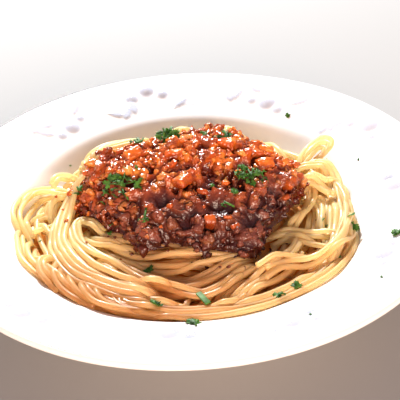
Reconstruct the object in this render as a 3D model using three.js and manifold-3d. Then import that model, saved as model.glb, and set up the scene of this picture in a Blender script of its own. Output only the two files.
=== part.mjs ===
// Deep pasta plate holding a nest of spaghetti under a mound of minced meat sauce,
// with diced carrot and sprigs of curly parsley.
// Millimetres, +Z up. The origin is the centre of the foot ring, on the table; -Y is the front.
import * as THREE from "three";
import { mergeVertices } from "three/addons/utils/BufferGeometryUtils.js";
import Module from "manifold-3d";

const wasm = await Module();
wasm.setup();

// Plate
const plateRadius = 120;
const wellRadius = 84; // where the well meets the rim
const wellEdgeHeight = 31;
const rimRise = 10; // the rim climbs this much from the well's edge to its lip
const floorRadius = 46;
const floorHeight = 7.5; // top of the well's floor
const wallSteepness = 1.9; // power of the curve that climbs from floor to edge
const wallSteps = 6;
const edgeRounding = 2.4;
const wallThickness = 5; // straight down
const wallInset = 2.5; // the underside's wall stands this far outside the upper one
const lipRadius = 1.9;
const footOuterRadius = 58;
const footInnerRadius = 52;
const footHeight = 2.5; // of the ring, below the plate's underside
const footTaper = 0.6;
const plateSegments = 52;

// Noodles
const nestPeak = 46; // their height under the sauce
const nestCentre = new THREE.Vector2(0, 4);
const nestEdgeHeight = 25; // their height at the outline
const nestFrontRise = 3; // the front edge stands this much higher
const nestBackDrop = 3.5; // and the back edge this much lower
const bundleThickness = 5.8;

// Sauce
const sauceCentre = new THREE.Vector2(1, -5);
const saucePeak = 60.5;
const sauceEdgeThickness = 2.2;
const crumbCount = 70;

// Clearances
const gap = 0.3; // between solids that touch
const underGap = 0.8; // under the sauce, where both faces are faceted

// How far the noodles reach from the plate's centre, every 45 degrees from +X anticlockwise,
// and how far the sauce reaches from its own centre, every 30 degrees.
const nestReach = [74, 78, 64, 73, 83.5, 84, 84, 80];
const sauceReach = [50, 52, 50, 43, 47, 56, 57, 42, 43, 41, 49, 46];

// Bundles of strands that lie on the nest. A route is a list of [degrees, radius, lift above the nest].
const bundles = [
  { route: [[165, 55, 1], [190, 62, 2], [215, 68, 2], [240, 72, 2], [262, 73, 2], [280, 70, 1]] },
  { route: [[205, 45, 0], [212, 58, 1.5], [230, 64, 1.5], [255, 62, 1], [275, 60, 0]] },
  { route: [[168, 60, 1], [172, 76, 3], [184, 79, 4], [192, 70, 3], [200, 56, 1]] },
  { route: [[192, 78, 1], [205, 79, 1], [220, 79, 0], [235, 79, 0]] },
  { route: [[318, 58, 2], [306, 60, 2.5], [292, 66, 2], [278, 74, 1]] },
  { route: [[330, 50, 1], [340, 62, 2], [348, 70, 1]] },
  { route: [[20, 66, 1], [2, 71, 2], [342, 74, 2], [325, 76, 1], [308, 76, 0]] },
  { route: [[26, 56, 3], [31, 69, 8], [33, 79, 12], [30, 82, 12], [25, 78, 7], [19, 70, 2]] },
  { route: [[142, 60, 2], [134, 67, 5], [128, 68, 7], [120, 61, 7], [112, 54, 5]], thickness: 9 },
  { route: [[100, 40, 1], [85, 50, 2], [72, 51, 2], [58, 50, 1]], thickness: 8 },
  { route: [[228, 60, 0], [231, 72, 0], [240, 79, -1]] },
  { route: [[246, 60, 0], [248, 72, 0], [256, 79, -1]] },
];

// Carrot dice: their places in the sauce's surface, lift above it, sizes, and turn and tip in degrees
const carrots = [
  { x: -6, y: -2, lift: 0.4, length: 9.5, width: 5.5, thickness: 4.5, turn: 4, tip: 12 },
  { x: -25, y: 3, lift: 0.2, length: 10, width: 7, thickness: 5, turn: 35, tip: -20 },
  { x: 18, y: 4, lift: 0.2, length: 8, width: 6.5, thickness: 5, turn: -25, tip: 8 },
  { x: 34, y: -8, lift: 0.4, length: 8, width: 8.5, thickness: 5, turn: 20, tip: 30 },
  { x: 8, y: -41, lift: 0.6, length: 5, width: 9, thickness: 4.5, turn: 6, tip: 50 },
  { x: -3, y: -22, lift: 0.6, length: 8, width: 7.5, thickness: 5, turn: 50, tip: 25 },
  { x: 45, y: -11, lift: 0.5, length: 7, width: 6, thickness: 4.5, turn: 60, tip: 35 },
];

// Parsley sprigs: their places in the sauce's surface, lift above it, and half sizes
const sprigs = {
  parsley_sprig_back: { x: -8.5, y: 14, lift: 2.2, spans: new THREE.Vector3(6, 4.4, 3.6) },
  parsley_sprig_left: { x: -30, y: -15, lift: 1.8, spans: new THREE.Vector3(8.6, 5.2, 3) },
  parsley_sprig_right: { x: 28, y: -18, lift: 1.8, spans: new THREE.Vector3(6.2, 5.2, 3) },
};

// Solids, from three.js geometry and back
function toSolid(geometry) {
  const flat = geometry.index ? geometry.toNonIndexed() : geometry;
  const bare = new THREE.BufferGeometry();
  bare.setAttribute("position", flat.getAttribute("position"));
  const merged = mergeVertices(bare, 1e-3);
  return new wasm.Manifold(
    new wasm.Mesh({
      numProp: 3,
      vertProperties: merged.attributes.position.array,
      triVerts: new Uint32Array(merged.index.array),
    }),
  );
}

function toGeometry(solid) {
  const mesh = solid.getMesh();
  const geometry = new THREE.BufferGeometry();
  geometry.setAttribute("position", new THREE.BufferAttribute(mesh.vertProperties, 3));
  geometry.setIndex(new THREE.BufferAttribute(mesh.triVerts, 1));
  geometry.computeVertexNormals();
  return geometry;
}

// A unit sphere with its poles on Z, each of its points sent where the given function says
function mouldedSphere(widthSegments, heightSegments, place) {
  const geometry = new THREE.SphereGeometry(1, widthSegments, heightSegments).rotateX(Math.PI / 2);
  const positions = geometry.getAttribute("position");
  for (let i = 0; i < positions.count; i++) {
    const point = place(new THREE.Vector3().fromBufferAttribute(positions, i));
    positions.setXYZ(i, point.x, point.y, point.z);
  }
  return geometry;
}

// Numbers from 0 to 1 that come the same each time
function makeRandom(seed) {
  let state = seed;
  return () => {
    state = (state * 1664525 + 1013904223) % 2 ** 32;
    return state / 2 ** 32;
  };
}

function polar(degrees, radius) {
  const angle = THREE.MathUtils.degToRad(degrees);
  return new THREE.Vector2(radius * Math.cos(angle), radius * Math.sin(angle));
}

// The reach of a smooth closed outline at an angle, from reaches spaced evenly round it
function reachAt(reaches, angle) {
  const turns = THREE.MathUtils.euclideanModulo(angle / (2 * Math.PI), 1);
  const place = turns * reaches.length;
  const first = Math.floor(place);
  const part = place - first;
  const [before, from, to, after] = [-1, 0, 1, 2].map((step) => {
    return reaches[(first + step + reaches.length) % reaches.length];
  });
  const bend = (2 * before - 5 * from + 4 * to - after) * part ** 2;
  const twist = (3 * from - before - 3 * to + after) * part ** 3;
  return from + 0.5 * ((to - before) * part + bend + twist);
}

// Height of the plate's upper surface at a radius
function plateTop(radius) {
  if (radius <= floorRadius) return floorHeight;
  if (radius <= wellRadius) {
    const climb = (radius - floorRadius) / (wellRadius - floorRadius);
    return floorHeight + (wellEdgeHeight - floorHeight) * climb ** wallSteepness;
  }
  const across = (radius - wellRadius) / (plateRadius - wellRadius);
  return wellEdgeHeight + rimRise * across;
}

// The plate's upper profile from the axis to the middle of the rim, with the well's edge rounded off
function upperProfile(lift) {
  const wallEnd = wellRadius - edgeRounding;
  const wall = Array.from({ length: wallSteps + 1 }, (_, i) => {
    const radius = floorRadius + ((wallEnd - floorRadius) * i) / wallSteps;
    return new THREE.Vector2(radius, plateTop(radius) + lift);
  });
  const corner = new THREE.Vector2(wellRadius, wellEdgeHeight + lift);
  const rimStart = wellRadius + edgeRounding;
  const outside = new THREE.Vector2(rimStart, plateTop(rimStart) + lift);
  const edge = new THREE.QuadraticBezierCurve(wall[wallSteps], corner, outside).getPoints(3).slice(1);
  const rimMiddle = (wellRadius + plateRadius) / 2;
  const axis = new THREE.Vector2(0, floorHeight + lift);
  return [axis, ...wall, ...edge, new THREE.Vector2(rimMiddle, plateTop(rimMiddle) + lift)];
}

function makePlate() {
  const lipCentre = new THREE.Vector2(plateRadius - lipRadius, wellEdgeHeight + rimRise - lipRadius);
  const lip = [90, 35, 0, -40, -80].map((degrees) => polar(degrees, lipRadius).add(lipCentre));
  const underOuter = wellRadius + wallInset;
  const underInner = footOuterRadius + 4;
  const under = [0, 1, 2, 3].map((step) => {
    const radius = THREE.MathUtils.lerp(underOuter, underInner + wallInset, step / 3);
    const height = plateTop(radius - wallInset) - wallThickness;
    return new THREE.Vector2(radius, Math.max(height, footHeight + footTaper));
  });
  const foot = [
    new THREE.Vector2(footOuterRadius + 2 * footTaper, footHeight),
    new THREE.Vector2(footOuterRadius - footTaper, 0),
    new THREE.Vector2(footInnerRadius + footTaper, 0),
    new THREE.Vector2(footInnerRadius - 2 * footTaper, footHeight),
    new THREE.Vector2(0, footHeight),
  ];
  const profile = [...upperProfile(0), ...lip, ...under, ...foot].reverse();
  return new THREE.LatheGeometry(profile, plateSegments).rotateX(Math.PI / 2);
}

// Everything above the plate's upper surface, kept a gap away from it
function makeFoodSpace() {
  const ceiling = 100;
  const surface = upperProfile(gap);
  const outside = surface[surface.length - 1].x;
  const lidded = [...surface, new THREE.Vector2(outside, ceiling), new THREE.Vector2(0, ceiling)];
  return toSolid(new THREE.LatheGeometry(lidded, plateSegments).rotateX(Math.PI / 2));
}

// Height of the noodles at a point: a low dome that falls to the wall of the well, steeper at the front
function nestTop(x, y) {
  const angle = Math.atan2(y, x);
  const share = Math.min(1, Math.hypot(x, y) / reachAt(nestReach, angle));
  const edge = nestEdgeHeight - nestFrontRise * Math.sin(angle) - nestBackDrop * Math.max(0, Math.sin(angle));
  const dome = (1 - share ** 2) ** (1 - 0.35 * Math.sin(angle));
  const offCentre = nestCentre.distanceToSquared(new THREE.Vector2(x, y));
  const sag = 1 - 0.0009 * offCentre * share * (1 - share);
  const waves = 0.7 * Math.sin(9 * angle + 7 * share) + 0.5 * Math.sin(4 * angle - 15 * share);
  return edge + (nestPeak - edge) * dome * sag + waves * share;
}

// The noodles' body: the sphere's upper half lies on nestTop, and its lower half drops below the floor
function makeNestBody() {
  const footSpread = 0.1; // the heap spreads this much wider at its foot, at the back
  const floorDepth = 1;
  return toSolid(
    mouldedSphere(48, 15, ({ x, y, z }) => {
      const angle = Math.atan2(y, x);
      const down = THREE.MathUtils.clamp(-4 * z, 0, 1);
      const spread = 1 + footSpread * down * Math.max(0, Math.sin(angle));
      const radius = Math.hypot(x, y) * reachAt(nestReach, angle) * spread;
      const [px, py] = [radius * Math.cos(angle), radius * Math.sin(angle)];
      return new THREE.Vector3(px, py, THREE.MathUtils.lerp(nestTop(px, py), floorDepth, down));
    }),
  );
}

function makeBundle(thickness, route) {
  const points = route.map(([degrees, distance, lift]) => {
    const { x, y } = polar(degrees, distance);
    return new THREE.Vector3(x, y, nestTop(x, y) + lift);
  });
  const path = new THREE.CatmullRomCurve3(points, false, "centripetal");
  const radius = thickness / 2;
  const section = new THREE.Shape(new THREE.EllipseCurve(0, 0, radius, radius).getPoints(6).slice(0, 6));
  const steps = Math.round(path.getLength() / (1.8 * bundleThickness));
  return toSolid(new THREE.ExtrudeGeometry(section, { steps, extrudePath: path, bevelEnabled: false }));
}

// Height of the sauce's upper surface, before its lumps, at a share of its reach
function sauceDome(x, y, share) {
  const edge = nestTop(x, y) + sauceEdgeThickness;
  const dome = Math.sqrt(Math.max(0, 1 - share ** 2));
  const crown = saucePeak + 0.05 * x - 0.05 * Math.abs(y - 8);
  return edge + (crown - edge) * dome;
}

function sauceSurface(x, y) {
  const [dx, dy] = [x - sauceCentre.x, y - sauceCentre.y];
  const share = Math.hypot(dx, dy) / reachAt(sauceReach, Math.atan2(dy, dx));
  return sauceDome(x, y, Math.min(1, share));
}

// The crumbs of mince that make the sauce's surface lumpy
function makeCrumbs() {
  const random = makeRandom(11);
  return Array.from({ length: crumbCount }, () => {
    const angle = 2 * Math.PI * random();
    const reach = 0.95 * Math.sqrt(random()) * reachAt(sauceReach, angle);
    return {
      x: sauceCentre.x + reach * Math.cos(angle),
      y: sauceCentre.y + reach * Math.sin(angle),
      size: 3.5 + 2.5 * random(),
      height: 1.2 + 1.6 * random(),
    };
  });
}

function lumpiness(crumbs, x, y) {
  return crumbs.reduce((tallest, crumb) => {
    const near = Math.hypot(x - crumb.x, y - crumb.y) / crumb.size;
    return Math.max(tallest, crumb.height * Math.max(0, 1 - near ** 2));
  }, 0);
}

// The sauce, grown outwards by a margin where it has to clear its neighbours
function makeSauce(margin) {
  const crumbs = makeCrumbs();
  return toSolid(
    mouldedSphere(46, 19, ({ x, y, z }) => {
      const angle = Math.atan2(y, x);
      const share = Math.hypot(x, y);
      const drips = 1 + 0.05 * Math.sin(5 * angle + 1) + 0.03 * Math.sin(11 * angle);
      const reach = share * (reachAt(sauceReach, angle) * drips + margin);
      const px = sauceCentre.x + reach * Math.cos(angle);
      const py = sauceCentre.y + reach * Math.sin(angle);
      const lumps = lumpiness(crumbs, px, py) * Math.min(1, 4 * z);
      const upper = sauceDome(px, py, share) + lumps + margin;
      const lower = nestTop(px, py) + underGap - margin;
      const side = THREE.MathUtils.clamp(0.5 + 3 * z, 0, 1);
      return new THREE.Vector3(px, py, THREE.MathUtils.lerp(lower, upper, side));
    }),
  );
}

function makeCarrot({ x, y, lift, length, width, thickness, turn, tip }, margin) {
  const rounding = 1;
  const [long, wide] = [length / 2 - rounding, width / 2 - rounding];
  const outline = new THREE.Shape([
    new THREE.Vector2(-long, -wide),
    new THREE.Vector2(long, -0.8 * wide),
    new THREE.Vector2(0.9 * long, wide),
    new THREE.Vector2(-0.8 * long, 0.9 * wide),
  ]);
  const bevel = rounding + margin;
  const depth = thickness - 2 * rounding;
  const options = { depth, bevelThickness: bevel, bevelSize: bevel, bevelSegments: 2 };
  const geometry = new THREE.ExtrudeGeometry(outline, options).translate(0, 0, -depth / 2);
  geometry.rotateX(-THREE.MathUtils.degToRad(tip)).rotateZ(THREE.MathUtils.degToRad(turn));
  return toSolid(geometry.translate(x, y, sauceSurface(x, y) + lift));
}

function makeSprig({ x, y, lift, spans }, margin) {
  const frillDepth = 0.16;
  const geometry = mouldedSphere(12, 8, (point) => {
    const frill = 1 + frillDepth * Math.hypot(point.x, point.y) * Math.sin(5 * Math.atan2(point.y, point.x));
    const grown = new THREE.Vector3(spans.x * frill, spans.y * frill, spans.z).addScalar(margin);
    return point.multiply(grown);
  });
  return toSolid(geometry.translate(x, y, sauceSurface(x, y) + lift));
}

// Materials
const porcelain = new THREE.MeshStandardMaterial({ color: "#f7f5f2", roughness: 0.12, metalness: 0 });
const pasta = new THREE.MeshStandardMaterial({ color: "#f1c27c", roughness: 0.35, metalness: 0 });
const meatSauce = new THREE.MeshStandardMaterial({ color: "#a4401b", roughness: 0.28, metalness: 0 });
const carrotFlesh = new THREE.MeshStandardMaterial({ color: "#e8641a", roughness: 0.35, metalness: 0 });
const parsley = new THREE.MeshStandardMaterial({ color: "#2f6b23", roughness: 0.5, metalness: 0 });

function named(name, geometry, material) {
  const mesh = new THREE.Mesh(geometry, material);
  mesh.name = name;
  return mesh;
}

// The nest with its bundles, cut to the plate; crumbs that a cut leaves loose are dropped
function makeSpaghetti() {
  const sauceRoom = makeSauce(gap);
  let nest = makeNestBody();
  for (const { route, thickness = bundleThickness } of bundles) {
    nest = nest.add(makeBundle(thickness, route).subtract(sauceRoom));
  }
  const bodies = nest.intersect(makeFoodSpace()).decompose();
  bodies.sort((a, b) => b.volume() - a.volume());
  return toGeometry(bodies[0]);
}

function makeFood() {
  const food = new THREE.Group();
  food.add(named("spaghetti", makeSpaghetti(), pasta));
  let sauce = makeSauce(0);
  carrots.forEach((carrot, i) => {
    sauce = sauce.subtract(makeCarrot(carrot, gap));
    food.add(named(`carrot_${i + 1}`, toGeometry(makeCarrot(carrot, 0)), carrotFlesh));
  });
  for (const [name, sprig] of Object.entries(sprigs)) {
    sauce = sauce.subtract(makeSprig(sprig, gap));
    food.add(named(name, toGeometry(makeSprig(sprig, 0)), parsley));
  }
  food.add(named("meat_sauce", toGeometry(sauce), meatSauce));
  return food;
}

const dish = new THREE.Group();
dish.add(named("plate", makePlate(), porcelain));
dish.add(makeFood());

export default dish;
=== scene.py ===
# Spaghetti under minced meat sauce on a deep rimmed plate: the looks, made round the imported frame.
import math
import random

import bmesh
import bpy
import numpy as np
from mathutils import Matrix, Vector, kdtree, noise
from mathutils.bvhtree import BVHTree


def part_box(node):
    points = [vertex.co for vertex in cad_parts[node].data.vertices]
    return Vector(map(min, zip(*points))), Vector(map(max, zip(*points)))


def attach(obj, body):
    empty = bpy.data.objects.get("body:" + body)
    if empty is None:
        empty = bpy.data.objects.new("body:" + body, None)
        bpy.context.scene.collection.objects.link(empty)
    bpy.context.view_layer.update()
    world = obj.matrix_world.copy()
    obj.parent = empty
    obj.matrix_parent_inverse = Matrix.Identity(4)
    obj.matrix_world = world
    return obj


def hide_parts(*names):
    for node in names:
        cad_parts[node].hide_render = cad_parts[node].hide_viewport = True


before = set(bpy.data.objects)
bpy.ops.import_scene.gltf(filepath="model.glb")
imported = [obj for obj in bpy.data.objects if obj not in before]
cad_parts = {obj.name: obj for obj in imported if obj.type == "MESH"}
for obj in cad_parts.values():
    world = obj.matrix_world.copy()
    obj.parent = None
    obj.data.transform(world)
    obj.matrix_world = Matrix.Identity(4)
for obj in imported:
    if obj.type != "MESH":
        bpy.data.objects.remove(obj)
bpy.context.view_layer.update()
mm = 0.001
fullTurn = 6.28  # radians, near enough for a random angle
print("frame:", len(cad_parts), "nodes")


# Small helpers for meshes
def addObject(name, data):
    made = bpy.data.objects.new(name, data)
    bpy.context.scene.collection.objects.link(made)
    return made


def bmeshFrom(mesh):
    bm = bmesh.new()
    bm.from_mesh(mesh)
    return bm


def meshFrom(name, bm):
    mesh = bpy.data.meshes.new(name)
    bm.to_mesh(mesh)
    bm.free()
    return mesh


def pieceFrom(name, bm):
    piece = addObject(name, meshFrom(name, bm))
    piece.data.shade_smooth()
    return piece


def putBack(piece, bm):
    bm.to_mesh(piece.data)
    bm.free()
    piece.data.shade_smooth()


def mergedCopy(node):
    bm = bmeshFrom(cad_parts[node].data)
    bmesh.ops.remove_doubles(bm, verts=bm.verts, dist=1e-6)
    return bm


def addCopy(bm, template, matrix):
    # a turned and scaled copy of a small mesh, joined to a growing one
    copy = template.copy()
    copy.transform(matrix)
    bm.from_mesh(copy)
    bpy.data.meshes.remove(copy)


def evaluatedMesh(piece):
    graph = bpy.context.evaluated_depsgraph_get()
    return bpy.data.meshes.new_from_object(piece.evaluated_get(graph), depsgraph=graph)


def applyModifier(piece, kind, **settings):
    # the mesh as the modifier leaves it, in place of the modifier
    modifier = piece.modifiers.new(kind.lower(), kind)
    for name, value in settings.items():
        setattr(modifier, name, value)
    done = evaluatedMesh(piece)
    piece.modifiers.clear()
    piece.data = done
    done.shade_smooth()


def setAttribute(piece, name, values):
    layer = piece.data.attributes.new(name, "FLOAT", "POINT")
    layer.data.foreach_set("value", np.asarray(values, np.float32))


def vertexArray(mesh):
    places = np.empty(len(mesh.vertices) * 3, np.float32)
    mesh.vertices.foreach_get("co", places)
    return places.reshape(-1, 3) / mm


def randomStretch(limits, source):
    return Matrix.Diagonal((*(source.uniform(*pair) for pair in limits), 1))


def roundEdges(bm, edges, width):
    bmesh.ops.bevel(bm, geom=edges, offset=width, segments=2, profile=0.5, affect="EDGES", material=-1)


def turnTo(direction, forward="Z", up="Y"):
    return direction.to_track_quat(forward, up).to_matrix().to_4x4()


def castDown(tree, x, y):
    # where a plumb line at a place meets a surface, or None
    return tree.ray_cast(Vector((x * mm, y * mm, 0.2)), Vector((0, 0, -1)))[0]


def finishPiece(piece, material, slot, *nodes):
    piece.data.materials.append(material)
    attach(piece, "root")
    if nodes:
        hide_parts(*nodes)
    print(f"{piece.name}: {sum(len(face.vertices) - 2 for face in piece.data.polygons)} triangles")


# Small helpers for materials
def feed(inlet, value):
    # a link where the value is another node's output, and a fixed value otherwise
    if isinstance(value, bpy.types.NodeSocket):
        inlet.id_data.links.new(value, inlet)
    else:
        inlet.default_value = (*value, 1) if inlet.type == "RGBA" else value


def addNode(tree, kind, place, inputs=None, **settings):
    node = tree.nodes.new("ShaderNode" + kind)
    node.location = place
    for name, value in settings.items():
        setattr(node, name, value)
    for name, value in (inputs or {}).items():
        feed(node.inputs[name], value)
    return node


def mixColours(tree, place, share, first, second, blend="MIX"):
    inputs = {"Factor": share, 6: first, 7: second}
    return addNode(tree, "Mix", place, inputs, data_type="RGBA", blend_type=blend).outputs[2]


def multiply(tree, place, first, second):
    return addNode(tree, "Math", place, {0: first, 1: second}, operation="MULTIPLY").outputs["Value"]


def mapRange(tree, place, value, limits):
    return addNode(tree, "MapRange", place, {"Value": value, **limits}).outputs["Result"]


def setColour(shader, colours):
    feed(shader.inputs["Base Color"], colours)


def attribute(tree, name, place):
    return addNode(tree, "Attribute", place, attribute_name=name).outputs["Fac"]


def objectPlaces(tree, place):
    return addNode(tree, "TexCoord", place).outputs["Object"]


def newMaterial(name, surface):
    material = bpy.data.materials.new(name)
    material.use_nodes = True
    tree = material.node_tree
    shader = tree.nodes["Principled BSDF"]
    for socket, value in surface.items():
        feed(shader.inputs[socket], value)
    return material, tree, shader


def newGroup(name, inputs, outputs):
    tree = bpy.data.node_groups.new(name, "ShaderNodeTree")
    for socketName, kind, default in inputs:
        socket = tree.interface.new_socket(socketName, in_out="INPUT", socket_type="NodeSocket" + kind)
        socket.default_value = default
    for socketName, kind in outputs:
        tree.interface.new_socket(socketName, in_out="OUTPUT", socket_type="NodeSocket" + kind)
    start, end = tree.nodes.new("NodeGroupInput"), tree.nodes.new("NodeGroupOutput")
    start.location, end.location = (-900, 0), (500, 0)
    return tree, start.outputs, end.inputs


# Slow patches of a second colour over a first, as food and glaze have them
def makeDriftGroup():
    inputs = [
        ("First", "Color", (1, 1, 1, 1)),
        ("Second", "Color", (0.5, 0.5, 0.5, 1)),
        ("Scale", "Float", 100.0),
        ("Amount", "Float", 0.5),
    ]
    tree, given, result = newGroup("colourDrift", inputs, [("Color", "Color"), ("Mask", "Float")])
    places = objectPlaces(tree, (-700, -250))
    noiseInputs = {"Vector": places, "Scale": given["Scale"], "Detail": 4.0, "Roughness": 0.55}
    grain = addNode(tree, "TexNoise", (-480, -100), noiseInputs)
    spread = mapRange(tree, (-260, -100), grain.outputs["Fac"], {"From Min": 0.35, "From Max": 0.65})
    mask = multiply(tree, (-60, -100), spread, given["Amount"])
    feed(result["Color"], mixColours(tree, (200, 0), mask, given["First"], given["Second"]))
    feed(result["Mask"], mask)
    return tree


# The fine beading of oil and sauce on a wet surface, as a height
def makeBeadGroup():
    inputs = [("Scale", "Float", 900.0), ("Coarse", "Float", 0.4)]
    tree, given, result = newGroup("wetBeads", inputs, [("Height", "Float")])
    places = objectPlaces(tree, (-700, -250))
    fine = {"Vector": places, "Scale": given["Scale"], "Smoothness": 0.6}
    beads = addNode(tree, "TexVoronoi", (-440, 60), fine, feature="SMOOTH_F1")
    third = multiply(tree, (-620, -120), given["Scale"], 0.33)
    swell = addNode(tree, "TexNoise", (-440, -200), {"Vector": places, "Scale": third, "Detail": 3.0})
    weighed = multiply(tree, (-220, -200), swell.outputs["Fac"], given["Coarse"])
    parts = {0: weighed, 1: beads.outputs["Distance"]}
    feed(result["Height"], addNode(tree, "Math", (60, 0), parts, operation="SUBTRACT").outputs["Value"])
    return tree


colourDrift = makeDriftGroup()
wetBeads = makeBeadGroup()


def colourPatches(tree, place, scale, amount, **colours):
    inputs = {"Scale": scale, "Amount": amount, **colours}
    return addNode(tree, "Group", place, inputs, node_tree=colourDrift).outputs


def addBump(tree, shader, height, strength, distance):
    inputs = {"Height": height, "Strength": strength, "Distance": distance}
    feed(shader.inputs["Normal"], addNode(tree, "Bump", (-220, -400), inputs).outputs["Normal"])


def addBeads(tree, shader, scale, strength, depth, coarse=1.0):
    inputs = {"Scale": scale, "Coarse": coarse}
    beads = addNode(tree, "Group", (-500, -400), inputs, node_tree=wetBeads)
    addBump(tree, shader, beads.outputs["Height"], strength, depth)


def letThrough(tree, shader, colour, share):
    # part of the light passes through, as in cooked pasta or a leaf
    through = addNode(tree, "BsdfTranslucent", (60, -240), {"Color": colour})
    inputs = {"Fac": share, 1: shader.outputs["BSDF"], 2: through.outputs["BSDF"]}
    blend = addNode(tree, "MixShader", (320, 0), inputs)
    feed(tree.nodes["Material Output"].inputs["Surface"], blend.outputs["Shader"])


# Camera: in front of the dish, looking down on it, leaning a little
cameraSettings = {
    "target": (4.42, 3.08, 31.0),  # mm
    "distance": 473.8,
    "elevation": 33.56,  # degrees
    "lean": -3.22,
    "lens": 90.0,
}


def makeCamera():
    elevation = math.radians(cameraSettings["elevation"])
    back = Vector((0, -math.cos(elevation), math.sin(elevation)))
    data = bpy.data.cameras.new("camera")
    data.lens = cameraSettings["lens"]
    data.clip_start = 0.01
    camera = addObject("camera", data)
    place = (Vector(cameraSettings["target"]) + back * cameraSettings["distance"]) * mm
    lean = Matrix.Rotation(math.radians(cameraSettings["lean"]), 4, "Z")
    camera.matrix_world = Matrix.Translation(place) @ turnTo(back) @ lean
    bpy.context.scene.camera = camera


makeCamera()
print("camera placed")

# Plate. Lengths in millimetres; the radius and the lip's height come from the frame.
plate = {
    "segments": 720,
    "floorRadius": 46.0,
    "floorHeight": 7.5,
    "wellRadius": 84.0,
    "wellEdgeHeight": 31.0,
    "wallSteepness": 1.9,
    "edgeRounding": 2.4,
    "wallThickness": 5.0,
    "wallInset": 2.5,
    "lipRadius": 1.9,
    "footOuter": 58.0,
    "footInner": 52.0,
    "footHeight": 2.5,
    "footTaper": 0.6,
    "footRounding": (0.5, 0.25),
    "reliefInner": 88.0,
    "reliefOuter": 114.5,
    "clusters": 11,
    "fruitHeight": 1.9,
    "fruitSizes": [(4.6, 6), (3.2, 4.4), (2.8, 3.8)],  # radius from and to
    "fruitSpread": (0, 5, -4.5),  # degrees from a cluster's middle
    "leafHeight": 1.0,
    "leafLength": (9, 13),
    "leafTurns": (-50, 20, 75, 130),
    "vineHeight": 0.25,
    "vineRadius": 101,
    "vineWidth": 1.6,
    "glaze": {"First": (0.82, 0.815, 0.81), "Second": (0.79, 0.785, 0.78)},
    # painted shade: the bluish colour laid over the relief, seen where it is not lit
    "reliefShadeColour": (0.54, 0.59, 0.70),
    "surface": {
        "Roughness": 0.12,
        "Coat Weight": 0.3,
        "Coat Roughness": 0.05,
        "Subsurface Weight": 0.05,
        "Subsurface Radius": (0.003, 0.003, 0.003),
    },
    "seed": 5,
}
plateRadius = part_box("plate")[1].x / mm
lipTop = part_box("plate")[1].z / mm


def plateTop(radius):
    floorRadius, wellRadius, edgeHeight = plate["floorRadius"], plate["wellRadius"], plate["wellEdgeHeight"]
    climb = np.clip((radius - floorRadius) / (wellRadius - floorRadius), 0, 1)
    well = plate["floorHeight"] + (edgeHeight - plate["floorHeight"]) * climb ** plate["wallSteepness"]
    return well + (lipTop - edgeHeight) * np.clip((radius - wellRadius) / (plateRadius - wellRadius), 0, 1)


def plateProfile():
    # from the middle of the floor over the rim and back under to the middle
    wellRadius, rounding, lipRadius = plate["wellRadius"], plate["edgeRounding"], plate["lipRadius"]
    inner, outer = wellRadius - rounding, wellRadius + rounding
    points = [(r, plateTop(r)) for r in np.linspace(0, plate["floorRadius"] - 2, 8)]
    points += [(r, plateTop(r)) for r in np.linspace(plate["floorRadius"], inner, 26)]
    ends = ((inner, plateTop(inner)), (wellRadius, plate["wellEdgeHeight"]), (outer, plateTop(outer)))
    for t in (0.25, 0.5, 0.75):
        parts = ((1 - t) ** 2, 2 * t * (1 - t), t * t)
        points.append(tuple(sum(part * end[axis] for part, end in zip(parts, ends)) for axis in (0, 1)))
    slope = math.atan((lipTop - plate["wellEdgeHeight"]) / (plateRadius - wellRadius))
    edge = plateRadius - lipRadius * (1 + math.sin(slope))  # where the lip's round meets the rim
    lipX, lipZ = plateRadius - lipRadius, float(plateTop(edge)) - lipRadius * math.cos(slope)
    points += [(r, plateTop(r)) for r in np.arange(outer, edge - 0.4, 0.75)]
    for angle in np.radians(range(106, -90, -17)):
        points.append((lipX + lipRadius * math.cos(angle), lipZ + lipRadius * math.sin(angle)))
    footOuter, footInner = plate["footOuter"], plate["footInner"]
    foot, taper = plate["footHeight"], plate["footTaper"]
    for r in np.linspace(wellRadius + plate["wallInset"], footOuter + 6.5, 12):
        height = plateTop(r - plate["wallInset"]) - plate["wallThickness"]
        points.append((r, max(height, foot + taper)))
    across, up = plate["footRounding"]
    points += [(footOuter + 2 * taper, foot), (footOuter - taper, up), (footOuter - taper - across, 0)]
    points += [(footInner + taper + across, 0), (footInner + taper, up), (footInner - 2 * taper, foot)]
    points.append((0, foot))
    return points


def reliefFeatures():
    # fruit and leaves on both sides of a waving vine: (kind, degrees, radius, size, turn)
    rnd = random.Random(plate["seed"])
    features = []
    for cluster in range(plate["clusters"]):
        middle = 360 * cluster / plate["clusters"] + rnd.uniform(-4, 4)
        side = 1 if cluster % 2 else -1
        sizes = [rnd.uniform(*limits) for limits in plate["fruitSizes"]]
        for spread, size in zip(plate["fruitSpread"], sizes):
            radius = plate["vineRadius"] + side * rnd.uniform(0, 7)
            features.append(("fruit", middle + spread, radius, size, 0))
        for turn in plate["leafTurns"]:
            degrees = middle + rnd.uniform(5, 14) * (1 if turn > 0 else -1)
            radius = plate["vineRadius"] - side * rnd.uniform(1, 7)
            size = rnd.uniform(*plate["leafLength"])
            features.append(("leaf", degrees, radius, size, turn + rnd.uniform(-15, 15)))
    return features


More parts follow.
